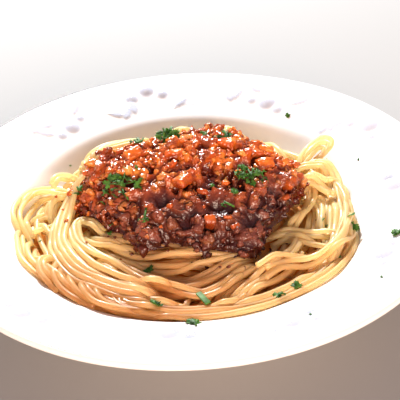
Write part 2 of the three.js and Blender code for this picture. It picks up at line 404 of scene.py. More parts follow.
def reliefAt(angle, radius):
    wave = plate["vineRadius"] + 5.5 * np.sin(11 * angle) + 1.6 * np.sin(23 * angle + 1)
    height = plate["vineHeight"] * np.clip(1 - ((radius - wave) / plate["vineWidth"]) ** 2, 0, 1) ** 2
    for kind, degrees, middle, size, turn in reliefFeatures():
        away = (angle - math.radians(degrees) + math.pi) % (2 * math.pi) - math.pi
        s, t = away * middle, radius - middle
        near = (np.abs(s) < 2 * size) & (np.abs(t) < 2 * size)
        s, t = s[near], t[near]
        if kind == "fruit":
            lump = plate["fruitHeight"] * size / 5 * np.clip(1 - (s * s + t * t) / size**2, 0, 1) ** 1.4
        else:
            c, d = math.cos(math.radians(turn)), math.sin(math.radians(turn))
            along = np.clip((s * c + t * d) / size + 0.5, 0, 1)
            side = (t * c - s * d) / (0.27 * size)
            halfWidth = np.sin(math.pi * along**0.75) * (1 + 0.12 * np.sin(along * 32)) + 1e-6
            inside = np.clip(1 - (side / halfWidth) ** 2, 0, 1) ** 1.3
            ribs = np.sin((along * 6 - np.abs(side) * 0.8) * fullTurn)
            vein = 0.35 * np.exp(-((side / 0.2) ** 2)) + 0.1 * ribs
            lump = plate["leafHeight"] * inside * (1 - vein)
        height[near] = np.maximum(height[near], lump)
    return height


def makePlate():
    bm = bmesh.new()
    chain = [bm.verts.new((r * mm, 0, z * mm)) for r, z in plateProfile()]
    edges = [bm.edges.new(pair) for pair in zip(chain, chain[1:])]
    whole = {"cent": (0, 0, 0), "axis": (0, 0, 1), "angle": 2 * math.pi, "steps": plate["segments"]}
    bmesh.ops.spin(bm, geom=chain + edges, use_merge=True, **whole)
    bmesh.ops.remove_doubles(bm, verts=bm.verts, dist=1e-7)
    bmesh.ops.recalc_face_normals(bm, faces=bm.faces)
    x, y, z = (np.array([v.co for v in bm.verts]) / mm).T
    radius, angle = np.hypot(x, y), np.arctan2(y, x)
    onRim = (radius > plate["reliefInner"]) & (radius < plate["reliefOuter"]) & (z > plateTop(radius) - 0.5)
    relief = np.zeros(len(radius))
    relief[onRim] = reliefAt(angle[onRim], radius[onRim])
    for vert, lift in zip(bm.verts, relief):
        vert.co.z += lift * mm
    piece = pieceFrom("glazed_plate", bm)
    # the relief mask also places the painted relief shade
    setAttribute(piece, "relief", np.clip(relief / 0.5, 0, 1))
    return piece


def porcelainMaterial():
    material, tree, shader = newMaterial("porcelainGlaze", plate["surface"])
    white = colourPatches(tree, (-300, 200), 22.0, 0.6, **plate["glaze"])["Color"]
    relief = attribute(tree, "relief", (-700, 0))  # painted shade: the relief takes a bluish colour, which shows where the relief is not lit
    setColour(shader, mixColours(tree, (-120, 200), relief, white, plate["reliefShadeColour"]))
    noiseInputs = {"Vector": objectPlaces(tree, (-900, -400)), "Scale": 140.0, "Detail": 2.0}
    ripple = addNode(tree, "TexNoise", (-600, -400), noiseInputs)
    addBump(tree, shader, ripple.outputs["Fac"], 0.12, 0.0006)
    return material


finishPiece(makePlate(), porcelainMaterial(), "porcelain", "plate")


# Height fields. A grid of cells over the well holds the height of whatever lies there so far.
field = {"half": 93.0, "step": 0.5, "coarse": 1.5}
empty = -50.0  # lower than anything
cellCount = int(round(2 * field["half"] / field["step"])) + 1
cellLine = np.linspace(-field["half"], field["half"], cellCount)
cellX, cellY = np.meshgrid(cellLine, cellLine)


def sampleTop(bm):
    # the upper surface of a solid on a coarse grid, then on the fine one
    tree = BVHTree.FromBMesh(bm)
    line = np.arange(-field["half"], field["half"] + 0.1, field["coarse"])
    coarse = np.full((len(line), len(line)), empty)
    for row, y in enumerate(line):
        for column, x in enumerate(line):
            hit = castDown(tree, x, y)
            if hit is not None:
                coarse[row, column] = hit.z / mm
    place = (cellLine + field["half"]) / field["coarse"]
    low = np.clip(place.astype(int), 0, len(line) - 2)
    part = np.clip(place - low, 0, 1)
    rows = coarse[low] * (1 - part)[:, None] + coarse[low + 1] * part[:, None]
    return rows[:, low] * (1 - part) + rows[:, low + 1] * part


def cellOf(values):
    return np.clip(np.rint((values + field["half"]) / field["step"]).astype(int), 3, cellCount - 4)


def readField(grid, x, y):
    return grid[cellOf(y), cellOf(x)]


cadNest = mergedCopy("spaghetti")
cadSauce = mergedCopy("meat_sauce")
cadSauceTree = BVHTree.FromBMesh(cadSauce)
nestTop = sampleTop(cadNest)
sauceTop = sampleTop(cadSauce)
plateField = plateTop(np.hypot(cellX, cellY))


def nestReach(angle):
    # how far from the middle the noodles reach in a direction
    radii = np.arange(30, 88, 0.5)
    top = readField(nestTop, radii * math.cos(angle), radii * math.sin(angle))
    return radii[top > plateTop(radii) + 0.8].max()


reachDegrees = np.arange(0, 361, 3)
reachTable = [nestReach(math.radians(degrees)) for degrees in reachDegrees]
print("fields sampled")

# Noodle core: the frame's heap, lowered, so that real strands lie over it; its orange is painted shade
# between the strands
core = {
    "lower": 8.0,
    "narrow": 0.95,
    "edge": 9.0,  # lowered by less where the heap is thinner than this
    "waveHeight": 0.5,
    "dent": (70.0, 34.0, 15.0, 14.0),  # under the loop that stands up: x, y, radius, depth
    # painted shade: the core's deep orange stands for the shade between the strands
    "colours": {"First": (0.85, 0.42, 0.12), "Second": (0.70, 0.28, 0.06)},
    "surface": {"Roughness": 0.5, "Subsurface Weight": 0.2, "Subsurface Radius": (0.003, 0.0012, 0.0004)},
}


def makeCore():
    bm = cadNest.copy()
    narrowing = Matrix.Diagonal((core["narrow"], core["narrow"], 1))
    bmesh.ops.transform(bm, matrix=narrowing.to_4x4(), verts=bm.verts)
    dentX, dentY, dentSize, dentDepth = core["dent"]
    bmesh.ops.subdivide_edges(bm, edges=bm.edges, cuts=1, use_grid_fill=True)
    for vert in bm.verts:
        x, y, z = vert.co / mm
        above = max(0.0, z - float(plateTop(np.hypot(x, y))))
        wave = core["waveHeight"] * math.sin(0.9 * math.hypot(x, y) + 2 * math.sin(3 * math.atan2(y, x)))
        dent = dentDepth * math.exp(-((x - dentX) ** 2 + (y - dentY) ** 2) / dentSize**2)
        drop = (core["lower"] + wave + dent) * min(1.0, above / core["edge"])
        vert.co.z -= min(drop, 0.9 * above) * mm
    bmesh.ops.recalc_face_normals(bm, faces=bm.faces)
    return bm


def coreShadeMaterial():
    material, tree, shader = newMaterial("pastaCoreShade", core["surface"])
    setColour(shader, colourPatches(tree, (-300, 200), 180.0, 1.0, **core["colours"])["Color"])
    return material


coreMesh = makeCore()
heap = np.maximum(plateField, sampleTop(coreMesh))
roof = np.maximum(plateField, nestTop)
finishPiece(pieceFrom("noodle_core", coreMesh), coreShadeMaterial(), "pasta", "spaghetti")


# Noodles. Each strand is a path in plan that comes down onto the heap and then counts as part of it.
noodles = {
    "radius": 1.27,
    "radiusSpread": 0.06,
    "sampleStep": 1.25,
    "settlePasses": 20,
    "pitch": 2.35,  # from strand to strand in a bundle
    "wiggle": (45, 0.3),  # length and width of a strand's own waves
    "unevenEnds": 8,  # steps
    "squeeze": 0.86,  # strands press into each other by the rest
    "bedStrands": 150,  # at most
    "bedTries": 10,
    "bedSweep": (70, 190),  # degrees round the nest
    "bedRadius": (0.42, 0.97),  # share of the nest's reach
    "bedLimits": (0.3, 0.965),
    "bedDrift": 0.28,
    "bedBend": (0.02, 0.1),
    "bedWiggle": (60, 0.7),
    "bedLow": -3.8,  # the bed is full when new strands would lie above this, from the frame's surface
    "overlap": 4.0,  # how far above the frame's surface a strand may be lifted by those under it
    "dip": 3.6,  # the ends go this far down between the strands below
    "dipLength": 9.0,
    "toneSpread": 0.35,  # how much the strands differ at random; the rest is painted shade, warmer and darker towards the front
    "frontShadeFrom": -22.0,
    "frontShadeOver": 36.0,
    "underShade": (0.45, 6),  # painted shade: how much darker the colour gets under other strands, and over what depth
    "lowShadeFront": (-38, 22),  # painted shade on the low front begins in front of this, over this length
    "lowShadeTop": (41, 8),  # and below this height
    "lowShadeRight": (50, 0.3),  # less of it from this side on, down to a share
    "stain": (0.6, 6),  # how much sauce has run onto the strands next to it, and how far
    "pale": (0.98, 0.87, 0.50),
    "warm": (0.98, 0.64, 0.32),
    # painted shade: the colour of strands that lie under others or low at the front
    "deep": (0.62, 0.235, 0.065),
    "stained": (0.5, 0.17, 0.045),
    "glow": (1.0, 0.90, 0.60),
    "glowShare": 0.6,
    "beads": (700.0, 0.12, 0.0003),  # scale, strength and depth
    "surface": {
        "Roughness": 0.44,
        "Coat Weight": 0.35,
        "Coat Roughness": 0.14,
        "Subsurface Weight": 0.5,
        "Subsurface Scale": 1.0,
        "Subsurface Radius": (0.0035, 0.0022, 0.0011),
    },
    "seed": 21,
}
rnd = random.Random(noodles["seed"])
strands = []  # (points, radius), in millimetres


def pathAlong(route):
    # a curve in even steps through degrees, radius and, where a strand is held up, its least height
    knots = []
    for degrees, radius, *least in route:
        angle = math.radians(degrees)
        knots.append((radius * math.cos(angle), radius * math.sin(angle), least[0] if least else empty))
    knots = np.array(knots)
    padded = np.vstack([2 * knots[0] - knots[1], knots, 2 * knots[-1] - knots[-2]])
    t = np.linspace(0, 1, 16, endpoint=False)[:, None]
    spans = []
    for before, start, end, after in zip(padded, padded[1:], padded[2:], padded[3:]):
        bend = (2 * before - 5 * start + 4 * end - after) * t**2
        twist = (3 * start - before - 3 * end + after) * t**3
        spans.append(start + 0.5 * ((end - before) * t + bend + twist))
    dense = np.vstack([*spans, knots[-1:]])
    run = np.concatenate([[0], np.cumsum(np.hypot(*np.diff(dense[:, :2], axis=0).T))])
    even = np.linspace(0, run[-1], max(4, int(run[-1] / noodles["sampleStep"])))
    return np.stack([np.interp(even, run, dense[:, axis]) for axis in range(3)], axis=1)


def slowNoise(path, length, amount):
    run = np.arange(len(path)) * noodles["sampleStep"]
    total = 0
    for _ in range(4):
        size, phase, weight = rnd.uniform(0.6, 1.7) * length, rnd.uniform(0, fullTurn), rnd.uniform(0.4, 1)
        total = total + weight * np.sin(fullTurn * run / size + phase)
    return amount * total / 2


def movedAside(path, shift):
    # to the left of the path, by a distance that varies along it
    along = np.gradient(path[:, :2], axis=0)
    along /= np.linalg.norm(along, axis=1)[:, None] + 1e-9
    moved = path.copy()
    moved[:, :2] += np.stack([-along[:, 1], along[:, 0]], axis=1) * shift[:, None]
    return moved


def cellsUnder(points, radius):
    # a cell near each point at a time, how far a round strand stands up there, and whether it covers the cell
    column, row = cellOf(points[:, 0]), cellOf(points[:, 1])
    reach = int(radius / field["step"]) + 1
    steps = range(-reach, reach + 1)
    for i, j in [(i, j) for i in steps for j in steps if math.hypot(i, j) * field["step"] < radius + 0.4]:
        r, c = row + j, column + i
        away = (cellLine[c] - points[:, 0]) ** 2 + (cellLine[r] - points[:, 1]) ** 2
        yield (r, c), np.sqrt(np.clip(radius**2 - away, 0, None)), away < radius**2


def restHeight(path, radius):
    # the lowest the strand's middle can be at each point of its path
    best = np.full(len(path), empty)
    for cells, lift, covered in cellsUnder(path, radius):
        best = np.maximum(best, np.where(covered, heap[cells] + lift, empty))
    return best


def stamp(points, radius):
    for cells, lift, covered in cellsUnder(points, radius):
        np.maximum.at(heap, cells, np.where(covered, points[:, 2] + lift, empty))


def blur(values, passes=1):
    for _ in range(passes):
        padded = np.concatenate([values[:1], values, values[-1:]])
        values = 0.25 * padded[:-2] + 0.5 * padded[1:-1] + 0.25 * padded[2:]
    return values


def settle(path, radius):
    rest = np.minimum(restHeight(path, radius), readField(roof, path[:, 0], path[:, 1]) + noodles["overlap"])
    need = np.maximum(rest, path[:, 2])
    height = need.copy()
    for _ in range(noodles["settlePasses"]):
        height = np.maximum(need, blur(height, 3))
    return blur(height, 2)


def dippedEnds(points, radius, dips):
    # how far the first and the last end go down
    run = np.arange(len(points)) * noodles["sampleStep"]
    first, last = (np.clip(1 - away / noodles["dipLength"], 0, 1) ** 1.5 for away in (run, run[::-1]))
    least = np.minimum(points[:, 2], readField(plateField, points[:, 0], points[:, 1]) + 0.95 * radius)
    return np.maximum(points[:, 2] - dips[0] * first - dips[1] * last, least)


def layStrand(path, dips):
    radius = noodles["radius"] * (1 + rnd.uniform(-1, 1) * noodles["radiusSpread"])
    points = path.copy()
    points[:, 2] = settle(path, radius)
    points[:, 2] = dippedEnds(points, radius, dips)
    stamp(points, radius * noodles["squeeze"])
    strands.append((points, radius))


def layBundles(bundles, *dips):
    # strands side by side along each route, their ends uneven; a bundle's own seed keeps changes to itself
    for route, count in bundles:
        rnd.seed(f"{noodles['seed']} {route[0]} {route[-1]}")
        leader = pathAlong(route)
        for number in range(count):
            offset = (number - (count - 1) / 2) * noodles["pitch"]
            path = movedAside(leader, offset + slowNoise(leader, *noodles["wiggle"]))
            first, last = rnd.randrange(noodles["unevenEnds"]), rnd.randrange(noodles["unevenEnds"])
            path = path[first : len(path) - last]
            if len(path) > 6:
                layStrand(path, dips)


def bedRoute():
    # round the nest, with a slow drift in and out, or a shorter piece that crosses it
    start = rnd.uniform(0, 360)
    sweep = rnd.choice((-1, 1)) * rnd.uniform(*noodles["bedSweep"])
    base = rnd.uniform(*noodles["bedRadius"])
    drift = rnd.uniform(-noodles["bedDrift"], noodles["bedDrift"])
    bend = rnd.uniform(*noodles["bedBend"])
    phase = rnd.uniform(0, fullTurn)
    least, most = noodles["bedLimits"]
    route = []
    for step in np.linspace(0, 1, 12):
        degrees = start + sweep * step
        share = base + drift * (step - 0.5) + bend * math.sin(phase + 7 * step)
        reach = float(np.interp(degrees % 360, reachDegrees, reachTable))
        route.append((degrees, min(most, max(least, share)) * reach))
    return route


def layBed():
    # of several tries, the strand that fills the lowest ground is kept
    for _ in range(noodles["bedStrands"]):
        tries = []
        for number in range(noodles["bedTries"]):
            path = pathAlong(bedRoute())
            path = movedAside(path, slowNoise(path, *noodles["bedWiggle"]))
            rest = restHeight(path, noodles["radius"])
            standing = float(np.mean(rest - readField(nestTop, path[:, 0], path[:, 1])))
            tries.append((standing, number, path))
        standing, _, path = min(tries)
        if standing > noodles["bedLow"]:
            break
        layStrand(path, (noodles["dip"], noodles["dip"]))


# Bundles that show, from the lowest up: ([degrees, radius, least height], how many strands)
shownBundles = [
    # low round the back
    ([(24, 72), (40, 72.5), (50, 71.5), (60, 70), (70, 66), (80, 63.5), (90, 62), (100, 62.5), (110, 64),
      (120, 67), (130, 68), (140, 69), (148, 69), (154, 66)], 3),
    ([(28, 66), (40, 66), (52, 64.5), (64, 62), (76, 58.5), (88, 56), (100, 56.5), (112, 58.5), (124, 61),
      (136, 62), (148, 62), (156, 58)], 4),
    ([(30, 60), (44, 64), (56, 69), (68, 66), (80, 60), (92, 56)], 2),
    ([(154, 58), (144, 65), (132, 66), (120, 62), (106, 60), (92, 62), (80, 62)], 3),
    # low round the left edge
    ([(186, 75), (189, 80), (198, 81.5), (205, 82.5), (212, 82), (218, 81.5), (224, 81), (233, 80.5),
      (246, 80)], 2),
    ([(188, 72), (194, 76), (204, 78.5), (211, 79), (218, 79), (225, 79), (233, 79)], 2),
    ([(214, 58), (209, 64), (205, 70), (206, 75), (203, 79)], 2),
    ([(220, 60), (215, 67), (211, 73), (214, 79), (219, 81.5), (227, 82)], 2),
    # curtain over the front edge
    ([(232, 81), (246, 80.5), (258, 80), (270, 79.5)], 2),
    ([(220, 52), (213, 62), (216, 71), (220, 77), (225, 80.5), (233, 82), (241, 82)], 2),
    ([(226, 56), (222, 64), (224, 72), (229, 77), (235, 80), (243, 81), (250, 80.5)], 2),
    ([(231, 58), (229, 67), (231, 74), (235, 78.5), (241, 81), (248, 81), (256, 80)], 2),
    ([(236, 60), (236, 69), (238, 75), (242, 79), (248, 80.5), (256, 80), (263, 79.5)], 2),
    ([(242, 61), (242, 69), (244, 75), (248, 79), (255, 80.5), (263, 80)], 2),
    ([(268, 60), (267, 71), (265, 74.5), (262, 77.5), (259, 80)], 1),
    ([(271, 60), (270, 68), (269, 75)], 1),
    # under the sauce's front edge
    ([(204, 46), (218, 43), (232, 41), (246, 40), (260, 40), (275, 42), (292, 42)], 3),
    ([(210, 50), (226, 46), (242, 44.5), (258, 43), (274, 45), (290, 44), (306, 42)], 3),
    # the fan between the sauce and the front
    ([(258, 38), (268, 42), (279, 45), (290, 47), (300, 46)], 2),
    ([(238, 44), (252, 45), (262, 45.5), (275, 46), (287, 48), (299, 50)], 1),
    ([(206, 44), (210, 50), (220, 50), (233, 49), (247, 48), (262, 48), (276, 48), (287, 50), (300, 54)], 2),
    ([(214, 54), (229, 53.5), (245, 53), (257, 53), (268, 52.5), (281, 51.5), (292, 52), (304, 54)], 2),
    ([(216, 57), (230, 57), (245, 57.5), (257, 58), (268, 57), (280, 54.5), (292, 54), (305, 54)], 2),
    ([(226, 60), (242, 60.5), (257, 62), (266, 61), (277, 58), (289, 55), (303, 54)], 2),
    ([(236, 64), (250, 65), (261, 64.5), (270, 63), (279, 60), (290, 57), (305, 54)], 2),
    ([(202, 38), (205, 46), (212, 47.5), (222, 44), (236, 40)], 2),
    ([(200, 46), (206, 52), (215, 51), (226, 47), (238, 43)], 2),
    # outermost, from the right to the front
    ([(352, 71), (341, 75.5), (330, 78.5), (319, 80.5), (312, 81), (306, 80.5), (299, 80), (291, 80.5),
      (284, 80.5), (276, 80), (268, 79.5), (259, 79.5), (252, 78)], 3),
    ([(330, 76), (322, 77), (314, 77.5), (306, 77), (298, 77.5), (290, 77.5), (282, 77.5), (274, 77),
      (264, 77), (255, 76), (247, 73)], 3),
    ([(316, 73), (306, 73.5), (298, 74), (290, 75), (281, 75.5), (273, 76)], 3),
    ([(240, 72), (250, 73), (260, 72.5), (270, 72)], 2),
    ([(266, 73), (256, 72.5), (249, 74), (247, 77), (250, 79.5), (257, 80), (266, 78.5)], 2),
    # right side
    ([(2, 48), (356, 56), (345, 57), (335, 58), (326, 56)], 2),
    ([(4, 52), (352, 59), (338, 61.5), (331, 66), (326, 68)], 1),
    ([(6, 56), (353, 62), (340, 64), (333, 68), (326, 71)], 2),
    ([(4, 60), (357, 66), (342, 67.5), (333, 69), (324, 73)], 2),
    ([(8, 62), (359, 68.5), (346, 70.5), (334, 73), (324, 75)], 2),
    ([(26, 60), (20, 66), (14, 69.5), (6, 70.5), (356, 71.5), (345, 73.5), (334, 75.5), (325, 77),
      (316, 77)], 3),
    ([(30, 53), (24, 60), (13, 65), (1, 67.5), (349, 70), (337, 72), (327, 74), (318, 74)], 3),
    ([(316, 38), (323, 46), (329, 50.5), (330, 56.5), (331, 63), (332, 69), (331, 76)], 3),
    ([(318, 44), (326, 51), (327, 57.5), (327.5, 63.5), (328, 70), (328, 75)], 2),
    ([(40, 46), (28, 60), (19, 64), (11, 65.5), (4, 67), (356, 69), (346, 71)], 3),
    ([(18, 46), (14, 54), (12, 62), (7, 66), (3, 68.5)], 2),
    # loops at the left
    ([(182, 53), (181, 62), (178, 70), (181, 77), (184, 80)], 2),
    ([(170, 58), (169, 63), (172, 68), (178, 70), (184, 69)], 2),
    ([(166, 54), (167, 61), (171, 64), (179, 66), (188, 64)], 2),
    ([(184, 48), (184, 58), (186, 66), (187, 73), (187, 79)], 2),
    ([(172, 44), (160, 60), (157, 70), (160, 77), (166, 80.5), (173, 82), (180, 82.5), (186, 80.5),
      (193, 78)], 2),
    ([(178, 46), (166, 60), (163, 70), (165, 76), (171, 78.5), (179, 79.5), (186, 78), (194, 75)], 2),
    ([(180, 72), (188, 69), (195, 66), (198, 61), (200, 56), (198, 50)], 1),
    # back left, piled up against the sauce
    ([(172, 52), (160, 57), (148, 60), (136, 61), (124, 58), (112, 54)], 3),
    ([(168, 50), (156, 54, 34), (145, 57, 35.5), (134, 57.5, 37), (122, 54, 37.5), (110, 49, 37.5)], 3),
    ([(170, 46), (160, 51, 37), (151, 54, 39), (143, 56, 40), (135, 56.5, 40.5), (127, 54, 40.5),
      (118, 49.5, 40.5), (108, 45, 40)], 3),
    ([(164, 44), (156, 49, 40), (147, 52.5, 42), (138, 53.5, 42.5), (129, 51, 42.5), (119, 47.5, 42.5),
      (110, 43, 41)], 2),
    ([(171, 67), (168, 65.5, 35), (164, 64.5, 36.5), (162, 60, 37.5), (163, 54, 37)], 3),
    # back
    ([(122, 52, 34), (112, 50, 37), (103, 47.5, 41), (94, 46, 45), (87, 45, 45.5), (80, 43, 42)], 3),
    ([(104, 54, 32), (92, 54.5, 34.5), (80, 53.5, 37), (70, 51, 39.5), (61, 48, 40.5), (52, 46, 39),
      (44, 45, 36)], 5),
    ([(88, 41, 38), (80, 43, 41), (72, 45, 44), (65, 46, 46), (59, 45, 45.5), (51, 42, 41)], 3),
    ([(124, 56), (106, 56), (88, 56), (70, 55), (54, 54), (42, 54)], 3),
    ([(54, 48), (42, 52), (30, 56), (22, 60), (14, 64)], 2),
    # loop that stands up at the right back
    ([(19, 64, 35), (19, 68.5, 35), (18, 70.5, 32), (16, 71.2, 29), (10, 70.5), (2, 70.2)], 1),
    ([(22, 52, 35), (19, 57, 38), (17, 62, 37.5), (15, 66, 35.5), (12, 68, 33), (7, 69), (0, 68.5),
      (351, 68)], 3),
    ([(8, 58), (7, 62.5, 31), (6.5, 66.5, 31.5), (6, 69.2, 30), (3.5, 71, 27.5), (358, 71.6), (350, 72.5),
      (341, 74.2)], 3),
    ([(14, 55, 35), (22, 58, 38), (25.5, 64, 41), (27.5, 71, 42), (28.5, 76.5, 42), (26, 79, 41.5),
      (23, 76, 39.5), (21.5, 69, 38), (19, 61, 36), (16, 54, 34)], 1),
    ([(12, 52, 35), (20, 57, 37), (23.5, 63, 40), (25.5, 69, 41.5), (26.3, 73.5, 41.5),
      (24.8, 75.8, 40.5), (22.5, 73, 38.5), (20.5, 66, 37), (18, 59, 35.5), (14, 53, 33)], 1),
    ([(15, 53, 36), (20.5, 61, 38), (23.5, 67, 40), (24.6, 71, 40.5), (23.4, 72.4, 39.5), (21, 69, 37.5),
      (18.5, 62, 36), (15, 55, 34)], 1),
]
# Bundles whose first ends show their cuts
looseBundles = [
    ([(152, 62, 37.5), (153, 57, 38.5), (155, 50, 39.5), (159, 42, 38)], 3),
    ([(356, 68.5, 32), (359, 64, 33.5), (2, 60, 35), (5, 55, 36), (10, 48)], 3),
    ([(312, 56), (307, 59), (300, 61.5), (291, 62), (281, 66), (274, 72.5), (270, 76)], 3),
    ([(318, 56), (313, 62), (304, 64), (294, 67), (286, 72), (279, 76)], 3),
    ([(325, 59), (314, 62.5), (302, 66), (291, 70), (283, 74.5), (277, 77)], 3),
    ([(292, 68), (298, 66), (304, 64.5), (311, 66), (316, 69.5), (321, 73), (327, 75), (335, 75),
      (344, 75), (354, 73)], 3),
]
# Bundles that come out over the edge of the sauce
overBundles = [
    ([(216, 58), (222, 60), (230, 60), (238, 61.5), (247, 64)], 3),
    ([(200, 54), (202, 60), (208, 61), (219, 63), (228, 64), (236, 64.5), (243, 65.5), (251, 66),
      (260, 67)], 2),
    ([(172, 50), (182, 56), (190, 59), (199, 61), (208, 63), (217, 64.5), (228, 66), (236, 67), (243, 68),
      (252, 68.5), (261, 69)], 3),
    ([(146, 56), (157, 54), (168, 53), (174, 55), (180, 57), (188, 60), (196, 63), (203, 66), (210, 68),
      (217, 69.5), (224, 70.5), (232, 71.5), (240, 72), (248, 73), (256, 73), (265, 70)], 4),
    ([(217, 42), (209, 46.5), (201, 49), (195, 52), (198, 55), (208, 57), (216, 56.5), (224, 56),
      (233, 55.5), (243, 57), (252, 61), (260, 64), (267, 66), (273, 68), (280, 66), (287, 62),
      (298, 56)], 2),
    ([(238, 62), (248, 63.5), (256, 64), (263, 63.5), (269, 61.5)], 1),
    ([(356, 46), (2, 53), (7, 57), (359, 57), (351, 55), (343, 52.5), (336, 49.5), (330, 46.5)], 2),
]

layBed()
bedCount = len(strands)
dip = noodles["dip"]
layBundles(shownBundles, dip, dip)
layBundles(looseBundles, 0.0, dip)
heap = np.maximum(heap, sauceTop)
roof = np.maximum(roof, sauceTop - noodles["overlap"])
layBundles(overBundles, 2 * dip, 2 * dip)
print("strands:", bedCount, "in the bed,", len(strands) - bedCount, "on top")


def tubesFrom(name, group):
    curve = bpy.data.curves.new(name, "CURVE")
    curve.dimensions = "3D"
    curve.bevel_depth = mm
    curve.bevel_resolution = 2
    curve.use_fill_caps = True
    for points, radius in group:
        spline = curve.splines.new("POLY")
        spline.points.add(len(points) - 1)
        spline.points.foreach_set("co", np.hstack([points * mm, np.ones((len(points), 1))]).ravel())
        swell = 1 + 0.03 * np.sin(np.arange(len(points)) * 0.35 + radius * 50)
        spline.points.foreach_set("radius", radius * swell)
    holder = addObject(name + "_curve", curve)
    bm = bmeshFrom(evaluatedMesh(holder))
    bpy.data.objects.remove(holder)
    bmesh.ops.remove_doubles(bm, verts=bm.verts, dist=1e-6)
    bmesh.ops.recalc_face_normals(bm, faces=bm.faces)
    piece = pieceFrom(name, bm)
    flattenCuts(piece.data)
    return piece


def flattenCuts(mesh):
    # the cut ends stay flat with a sharp rim
    ends = [face for face in mesh.polygons if len(face.vertices) > 4]
    rims = {tuple(sorted(pair)) for face in ends for pair in face.edge_keys}
    for face in ends:
        face.use_smooth = False
    for edge in mesh.edges:
        if tuple(sorted(edge.vertices)) in rims:
            edge.use_edge_sharp = True


def labelStrands(piece, group):
    # how warm each strand is, at random and with painted shade towards the front, how much painted shade it
    # gets from lying under others or low at the front, and how much sauce has run onto it
    places = vertexArray(piece.data)
    x, y, z = places.T
    tree = kdtree.KDTree(sum(len(points) for points, _ in group))
    tones = []
    for points, _ in group:
        tone = noodles["toneSpread"] * rnd.random()
        for point in points:
            tree.insert(point, len(tones))
            # painted shade: the tone grows warmer and darker towards the front
            frontShade = min(1.0, max(0.0, (noodles["frontShadeFrom"] - point[1]) / noodles["frontShadeOver"]))
            tones.append(tone + (1 - noodles["toneSpread"]) * frontShade)
    tree.balance()
    nearest = [tree.find(place)[1] for place in places]
    setAttribute(piece, "tone", np.array(tones)[nearest])
    # painted shade under other strands and on the low front, less of it to the right
    share, depth = noodles["underShade"]
    underShade = share * np.clip((readField(heap, x, y) - z) / depth, 0, 1)
    (front, length), (top, fall) = noodles["lowShadeFront"], noodles["lowShadeTop"]
    right, least = noodles["lowShadeRight"]
    lowShade = np.clip((front - y) / length, 0, 1) * np.clip((top - z) / fall, 0, 1)
    setAttribute(piece, "depth", np.clip(underShade + lowShade * np.clip(0.8 - x / right, least, 1), 0, 1))
    stain, reach = noodles["stain"]
    away = [cadSauceTree.find_nearest(Vector(place) * mm, 0.02)[3] or 0.02 for place in places]
    setAttribute(piece, "stain", stain * np.clip(1 - np.array(away) / mm / reach, 0, 1))


def noodleMaterial():
    material, tree, shader = newMaterial("pasta", noodles["surface"])
    warm = noodles["warm"]
    base = mixColours(tree, (-860, 300), attribute(tree, "tone", (-1100, 300)), noodles["pale"], warm)
    drift = colourPatches(tree, (-640, 300), 160.0, 0.4, First=base, Second=warm)["Color"]
    underShade = mixColours(tree, (-420, 300), attribute(tree, "depth", (-1100, 100)), drift, noodles["deep"])
    patchy = colourPatches(tree, (-860, -300), 110.0, 1.0)["Mask"]
    stain = multiply(tree, (-640, -100), attribute(tree, "stain", (-1100, -100)), patchy)
    setColour(shader, mixColours(tree, (-200, 300), stain, underShade, noodles["stained"]))
    addBeads(tree, shader, *noodles["beads"], coarse=0.8)
    letThrough(tree, shader, noodles["glow"], noodles["glowShare"])
    return material


pasta = noodleMaterial()
groups = {"bed_noodles": strands[:bedCount], "top_noodles": strands[bedCount:]}
for tubes, group in [(tubesFrom(name, group), group) for name, group in groups.items()]:
    labelStrands(tubes, group)
    finishPiece(tubes, pasta, "pasta")


